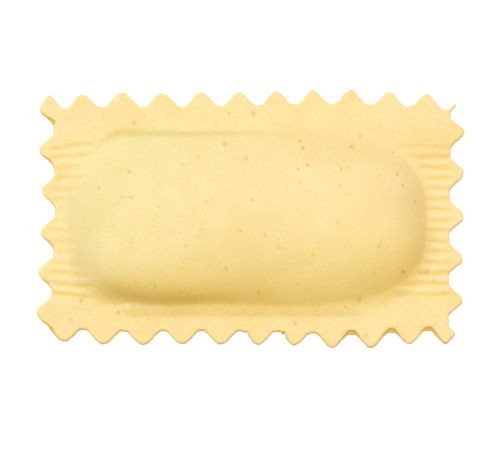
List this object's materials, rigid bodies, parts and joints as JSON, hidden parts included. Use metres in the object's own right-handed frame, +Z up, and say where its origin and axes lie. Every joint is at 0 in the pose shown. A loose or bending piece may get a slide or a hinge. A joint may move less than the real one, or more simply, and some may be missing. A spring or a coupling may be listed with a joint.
{
  "type": "rectangular raviolo, filled pasta piece",
  "caption": "Rectangular filled pasta piece with a pillow-shaped pocket, a flat rim with fluted edges and fine ribs across both short ends.",
  "frame": {"origin": "middle of the flat underside, in the plane that the piece lies on", "axes": "+X along the long side, +Y across the piece towards the back edge, +Z up out of the pocket's crown"},
  "size_m": [0.0702, 0.0422, 0.0096],
  "materials": {
    "dough": "matte, faintly floury fresh egg dough"
  },
  "bodies": {
    "root": {"raviolo": "dough"}
  },
  "joints": []
}
